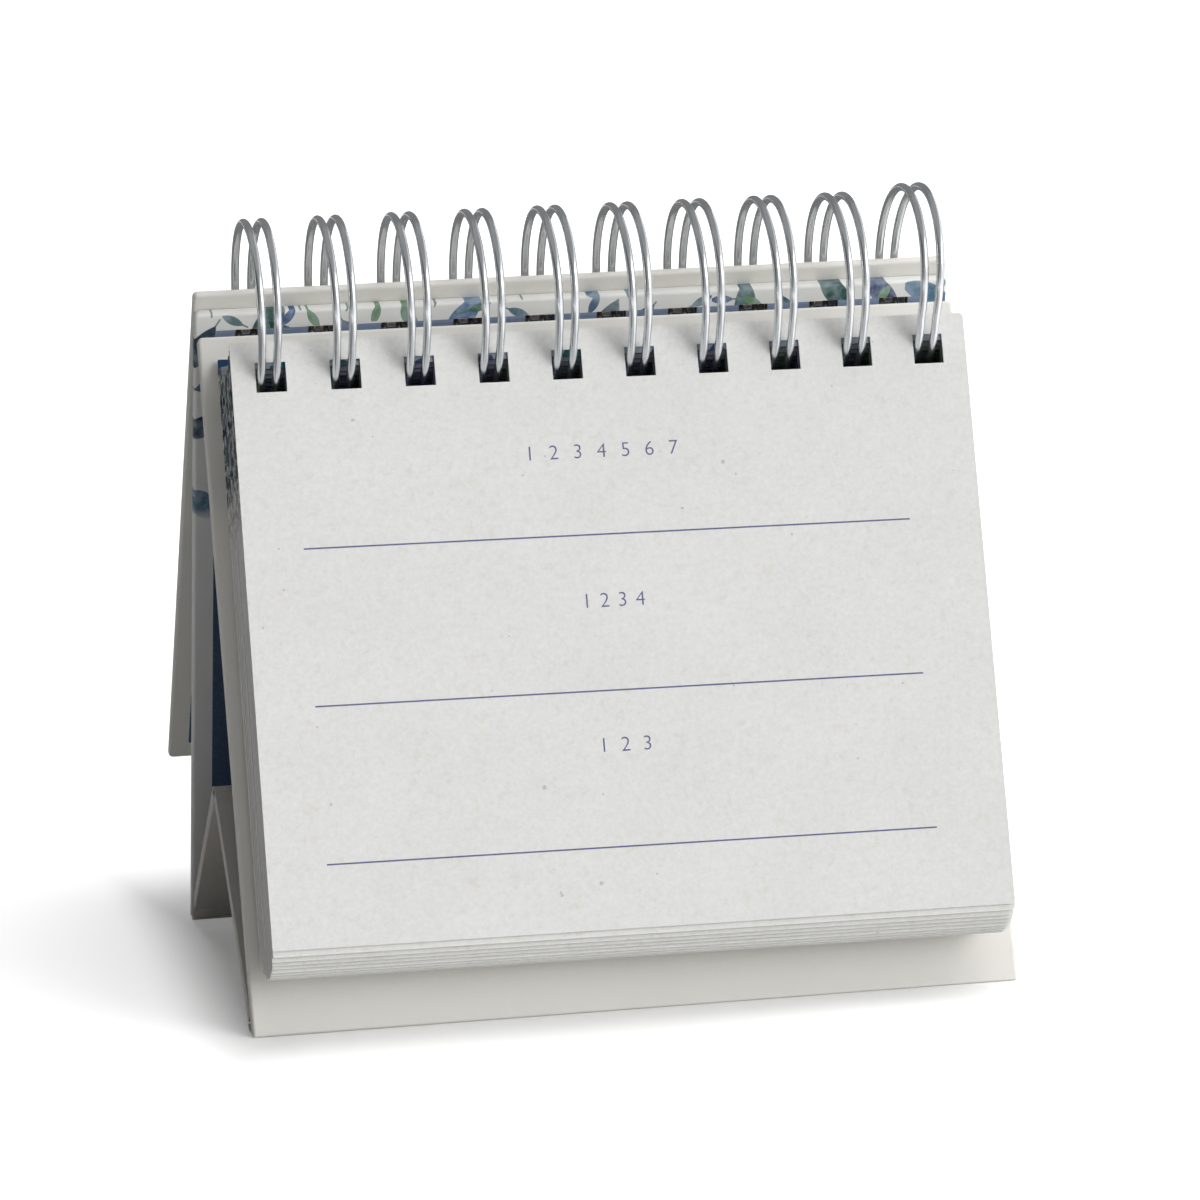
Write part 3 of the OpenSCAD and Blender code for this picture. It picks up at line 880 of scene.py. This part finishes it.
# %% Drop of each bundle
net, given = recipe("hang_leaves", {
    "Leaf": "Object", "Leaves": "Int", "First": "Float", "Spacing": "Float",
    "Loop ahead": "Float", "Loop up": "Float", "Inner radius": "Float", "Play": "Float",
    "Loose across": "Float", "Loose up": "Float", "Bundle": "Int", "Gap": "Float", "Sag": "Float",
    "Sag reach": "Float", "Sag round": "Float", "Seed": "Int", "Lean": "Vector", "Foot": "Vector"})
index = net.node("GeometryNodeInputIndex")
bundle = net.maths("FLOOR", index / given("Bundle"))
wad = given("Bundle") * given("Spacing")
depth = given("First") + index * given("Spacing") + bundle * given("Gap")
middle = given("First") + bundle * (wad + given("Gap")) + wad * 0.5
away = abs(middle + given("Loop ahead")) + wad * 0.5
flare = net.maths("SQRT", away * away + given("Sag round") * given("Sag round")) / given("Sag reach")
pulled = given("Sag") * (1 - flare).most(0.0)
rise = net.maths("SQRT", given("Inner radius") * given("Inner radius") - away * away)
hang = given("Loop up") - rise - pulled + given("Play")
print("bundles in the stack:", STACK_LEAVES // BUNDLE)

# %% Hang the leaves
def loose(low, high, seed, which):
    return net.node("FunctionNodeRandomValue", {"data_type": "FLOAT"},
                    {2: low, 3: high, "ID": which, "Seed": seed}, out=1)


seed = given("Seed")
across = (loose(-1.0, 1.0, seed, bundle) + loose(-0.2, 0.2, seed + 1, index)) * given("Loose across")
lift = (loose(0.0, 1.0, seed + 2, bundle) + loose(0.0, 0.1, seed + 3, index)) * given("Loose up")
spot = net.node("ShaderNodeCombineXYZ", None, {"X": across, "Y": depth, "Z": hang + lift})
points = net.node("GeometryNodeMeshLine", {"mode": "OFFSET"}, {"Count": given("Leaves")})
placed = net.node("GeometryNodeSetPosition", None, {"Geometry": points, "Position": spot})
leaf_copy = net.node("GeometryNodeObjectInfo", {"transform_space": "ORIGINAL"},
                     {"Object": given("Leaf"), "As Instance": True}, out="Geometry")
hung = net.node("GeometryNodeInstanceOnPoints", None, {"Points": placed, "Instance": leaf_copy})
leaning = net.node("GeometryNodeTransform", None,
                   {"Geometry": hung, "Rotation": given("Lean"), "Translation": given("Foot")})
serve(net, leaning, stack_finish.material)
stack = cook("leaf_stack", net, {
    "Leaf": one_leaf, "Leaves": STACK_LEAVES, "First": STACK_FRONT, "Spacing": LEAF_SPACING,
    "Loop ahead": LOOP_AHEAD, "Loop up": LOOP_UP, "Inner radius": INNER_R, "Play": 0.15 * MM,
    "Loose across": 0.2 * MM, "Loose up": 0.12 * MM, "Bundle": BUNDLE, "Gap": BUNDLE_GAP,
    "Sag": SAG, "Sag reach": SAG_REACH, "Sag round": SAG_ROUND, "Seed": 11,
    "Lean": tuple(hung_plane.to_euler()), "Foot": tuple(hung_plane.translation)})
bpy.data.objects.remove(one_leaf)
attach(stack, "stand")
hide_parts(*["month_block_%02d" % k for k in range(1, 13)])

# %% [markdown]
# ## Ruled lines and numerals
# The front leaf carries three thin ruled lines for writing on, with a small caption of plain numerals above
# each. They could be part of the paper's material, but a mask that fine would break up into steps. Ink has
# almost no thickness, so each line and caption is a sheet of a fiftieth of a millimetre on the paper's face.

# %% Ink
INK_T = 0.02 * MM


def violet_ink():
    f = Finish("violet_ink", Roughness=0.7, Specular_IOR_Level=0.2)
    soak = f.noise(f.place(), 0.4 * MM, detail=4.0, rough=0.7)
    f.feed("Base Color", f.tint(f.soft(soak, 0.35, 0.75) * 0.6, linear(96, 98, 140), linear(132, 134, 166)))
    return f


ink_finish = violet_ink()


def print_on_leaf(name, mesh):
    """Stands a flat drawing (x across, y up) on the face of the front leaf."""
    mesh.transform(hung_plane @ Matrix.Translation((0, -STACK_T, 0)) @ Matrix.Rotation(math.pi / 2, 4, "X"))
    mesh.materials.clear()
    mesh.materials.append(ink_finish.material)
    piece = new_object(name, mesh)
    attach(piece, "leaf")


print("made", ink_finish.material.name)

# %% Ruled lines
RULE_LENGTH = 105.0 * MM
RULE_WIDTH = 0.26 * MM
RULE_X = -1.25 * MM
RULE_HEIGHTS = (79.17 * MM, 52.54 * MM, 26.05 * MM)
for k, height in enumerate(RULE_HEIGHTS, start=1):
    bm = bmesh.new()
    bmesh.ops.create_cube(bm, size=1.0)
    bmesh.ops.scale(bm, vec=(RULE_LENGTH, RULE_WIDTH, INK_T), verts=bm.verts)
    bmesh.ops.translate(bm, vec=(RULE_X, height, INK_T / 2), verts=bm.verts)
    print_on_leaf("ruled_line_%d" % k, finished_mesh(bm, "rule"))
print("ruled lines:", len(RULE_HEIGHTS))

# %% Numerals
NUMERAL_H = 2.5 * MM
NUMERAL_SHARE = 0.7
NUMERAL_THIN = -0.012
CAPTIONS = (("1234567", 27.0 * MM, 93.4 * MM), ("1234", 10.8 * MM, 67.8 * MM), ("123", 9.0 * MM, 43.2 * MM))


def ends(mesh):
    places = [v.co.x for v in mesh.vertices]
    return min(places), max(places)


def numerals(text, width, height):
    """Numerals set wider until they span about the given width, centred over the ruled lines."""
    curve = bpy.data.curves.new("numerals", "FONT")
    curve.body = text
    curve.size = NUMERAL_H / NUMERAL_SHARE
    curve.align_x = "CENTER"
    curve.align_y = "CENTER"
    curve.offset = NUMERAL_THIN * curve.size
    curve.extrude = INK_T / 2
    curve.resolution_u = 6
    maker = new_object("numerals", curve)
    left, right = ends(plain_mesh(maker))
    curve.space_character = width / (right - left)
    mesh = plain_mesh(maker)
    bpy.data.objects.remove(maker)
    left, right = ends(mesh)
    mesh.transform(Matrix.Translation((RULE_X - (left + right) / 2, height, INK_T / 2)))
    return mesh


for k, caption in enumerate(CAPTIONS, start=1):
    print_on_leaf("numerals_%d" % k, numerals(*caption))
print("captions:", len(CAPTIONS))

# %% [markdown]
# ## Floor and world
# The photograph is a plain white studio shot: a soft shadow round the feet, and white all about. A floor lit
# to white would throw too much light up at the calendar. So the floor is a mid grey for the light that
# bounces, white where it is seen or mirrored, and a glow that grows away from the feet takes the last grey
# out of it. The world is white in the same way, and gives only a little light.

# %% Floor and world
FLOOR_CORNERS = (-4, -4, 4, 6)
FLOOR_DROP = 0.05 * MM
BOUNCE_WHITE = 0.55
SEEN_WHITE = 0.93
FLOOR_GLOW = 0.14
FAR_GLOW = 0.58
AMBIENT = 0.1
FADE_BEHIND = (10 * MM, 70 * MM)
FADE_ASIDE = (63 * MM, 81 * MM)
FADE_AHEAD = (-43 * MM, -60 * MM)
FADE_RIGHT = (-10 * MM, 60 * MM)


def seen_rays(net):
    """1 for the rays that show a background: to the camera, in gloss and through glass."""
    ray = net.node("ShaderNodeLightPath")
    return ray.most(ray.out("Is Glossy Ray").most(ray.out("Is Transmission Ray")))


def floor_white():
    f = Finish("floor_white", Roughness=0.9, Specular_IOR_Level=0.0)
    seen = seen_rays(f)
    white = BOUNCE_WHITE + seen * (SEEN_WHITE - BOUNCE_WHITE)
    f.feed("Base Color", f.node("ShaderNodeCombineColor", None, {0: white, 1: white, 2: white}))
    x, y, _ = f.axes(f.place())
    ahead = f.soft(y, *FADE_AHEAD) * (0.5 + 0.5 * f.soft(x, *FADE_RIGHT))
    away = f.soft(y, *FADE_BEHIND).most(f.soft(abs(x), *FADE_ASIDE).most(ahead))
    # the glow is painted light on the floor, weak by the feet and strong away from them, so that it takes out
    # the shadow there
    strength = seen * (FLOOR_GLOW + away * (FAR_GLOW - FLOOR_GLOW))
    glow = f.node("ShaderNodeEmission", None, {"Color": (1, 1, 1, 1), "Strength": strength})
    lit = f.node("ShaderNodeAddShader", None, {0: Signal(f, f.shader.outputs[0]), 1: glow})
    f.tree.links.new(lit.socket, f.tree.nodes["Material Output"].inputs["Surface"])
    return f


def flat_panel(name, x0, y0, x1, y1, z, finish):
    mesh = bpy.data.meshes.new(name)
    mesh.from_pydata([(x0, y0, z), (x1, y0, z), (x1, y1, z), (x0, y1, z)], [], [(0, 1, 2, 3)])
    mesh.materials.append(finish.material)
    return new_object(name, mesh)


floor = flat_panel("floor", *FLOOR_CORNERS, -FLOOR_DROP, floor_white())

world = bpy.data.worlds.new("studio")
bpy.context.scene.world = world
world.use_nodes = True
sky_strength = AMBIENT + seen_rays(Net(world.node_tree)) * (1 - AMBIENT)
background = world.node_tree.nodes["Background"]
background.inputs["Color"].default_value = (1, 1, 1, 1)
world.node_tree.links.new(sky_strength.socket, background.inputs["Strength"])
print("floor and world ready")

# %% [markdown]
# ## Lamps
# The light is that of large soft boxes: a broad key from the upper right leaves the left side of the case in
# soft shade, two low ones lift the front and the right side, and one from above whitens the top. Area lamps
# would do, but their strength changes with distance. Sun lamps with a wide angle give the same soft light
# everywhere. Only the key shows in the metal, so that each wire has one bright stripe.

# %% Lamps
def sun(name, toward, strength, angle, in_gloss=False):
    lamp = bpy.data.lights.new(name, "SUN")
    lamp.energy = strength
    lamp.angle = math.radians(angle)
    made = new_object(name, lamp)
    made.rotation_euler = Vector(toward).to_track_quat("-Z", "Y").to_euler()
    made.visible_glossy = in_gloss


sun("key", toward=(-0.75, 0.75, -0.55), strength=1.0, angle=30, in_gloss=True)
sun("front", toward=(-0.6, 1.0, -0.05), strength=1.05, angle=50)
sun("side", toward=(-1.0, 0.45, -0.22), strength=0.6, angle=40)
sun("top", toward=(-0.42, 0.05, -1.0), strength=1.65, angle=64)
print("lamps: key from the upper right, low front, low side, soft top")

# %% [markdown]
# ## Flags for the metal
# A metal wire shows its surroundings, and in an all-white studio it would be white and shapeless. In a photo
# studio grey boards, called flags, stand just outside the picture for that. Darker metal would be the other
# way, but it would be wrong in any other light. So plain panels stand round the calendar and lie on the
# floor, hidden from the camera, diffuse light and shadows. Only the gloss sees them, and the papers stay as
# they are.

# %% Flags that only the metal sees
MAT_UP = 0.5 * MM


def grey(name, shade):
    finish = Finish(name, Roughness=1.0, Emission_Color=(shade, shade, shade, 1), Emission_Strength=1.0)
    finish.shader.inputs["Base Color"].default_value = (0, 0, 0, 1)
    return finish


def only_in_gloss(panel):
    panel.visible_camera = False
    panel.visible_diffuse = False
    panel.visible_shadow = False
    panel.visible_transmission = False


def direction(azimuth, elevation):
    a, e = math.radians(azimuth), math.radians(elevation)
    return Vector((math.sin(a) * math.cos(e), -math.cos(a) * math.cos(e), math.sin(e)))


def flag(name, azimuth, elevation, distance, width, height, shade):
    """A panel that faces the loops from a distance."""
    panel = flat_panel(name, -width / 2, -height / 2, width / 2, height / 2, 0, grey(name, shade))
    way = direction(azimuth, elevation)
    turn = way.to_track_quat("Z", "Y").to_matrix().to_4x4()
    panel.data.transform(Matrix.Translation(loop_axis + distance * way) @ turn)
    only_in_gloss(panel)


def mat(name, x0, y0, x1, y1, shade):
    """A panel that lies on the floor."""
    only_in_gloss(flat_panel(name, x0, y0, x1, y1, MAT_UP, grey(name, shade)))


flag("left_flag", azimuth=-72, elevation=25, distance=1.5, width=1.9, height=2.6, shade=0.10)
flag("near_flag", azimuth=-16, elevation=25, distance=1.6, width=1.2, height=2.6, shade=0.34)
flag("rear_flag", azimuth=-165, elevation=25, distance=1.5, width=3.2, height=2.6, shade=0.22)
flag("top_flag", azimuth=-90, elevation=76, distance=1.3, width=3.2, height=4.4, shade=0.33)
mat("left_mat", x0=-1.2, y0=-0.5, x1=-0.09, y1=1.2, shade=0.2)
mat("rear_mat", x0=-0.09, y0=0.07, x1=0.8, y1=1.2, shade=0.2)
mat("front_mat", x0=-0.09, y0=-0.6, x1=0.1, y1=-0.06, shade=0.6)
print("flags: dark on the left, grey near the camera, behind, above and on the floor")

# %% [markdown]
# ## Camera
# The photograph was taken from a little above and to the left, with a long lens. A camera could be moved
# until it looks right, but the eye is easily fooled by perspective. This one comes from a fit: the corners of
# the leaf, its holes and its lines were measured in the picture, and the camera that puts them there was
# worked out, with its focal length in pixels.

# %% Camera
PHOTO_PX = 1200
FOCAL_PX = 5531
SENSOR_W = 36.0
CAMERA_AZIMUTH = -12.315
CAMERA_ELEVATION = 13.713
CAMERA_DISTANCE = 954.73 * MM
CAMERA_ROLL = math.radians(-0.5)
# from the foot of the leaf plane, in world directions
CAMERA_TARGET = Vector((0.0, 29.996, 64.6)) * MM

scene = bpy.context.scene
scene.view_settings.view_transform = "Standard"
camera_data = bpy.data.cameras.new("camera")
camera_data.sensor_width = SENSOR_W
camera_data.lens = FOCAL_PX / PHOTO_PX * SENSOR_W
camera_data.clip_start = 50 * MM
camera = new_object("camera", camera_data)
target = leaf_plane.translation + CAMERA_TARGET
camera.location = target + CAMERA_DISTANCE * direction(CAMERA_AZIMUTH, CAMERA_ELEVATION)
aim = (target - camera.location).to_track_quat("-Z", "Y").to_matrix()
camera.rotation_euler = (aim @ Matrix.Rotation(CAMERA_ROLL, 3, "Z")).to_euler()
scene.camera = camera
print("camera at, mm:", [round(v / MM, 1) for v in camera.location])
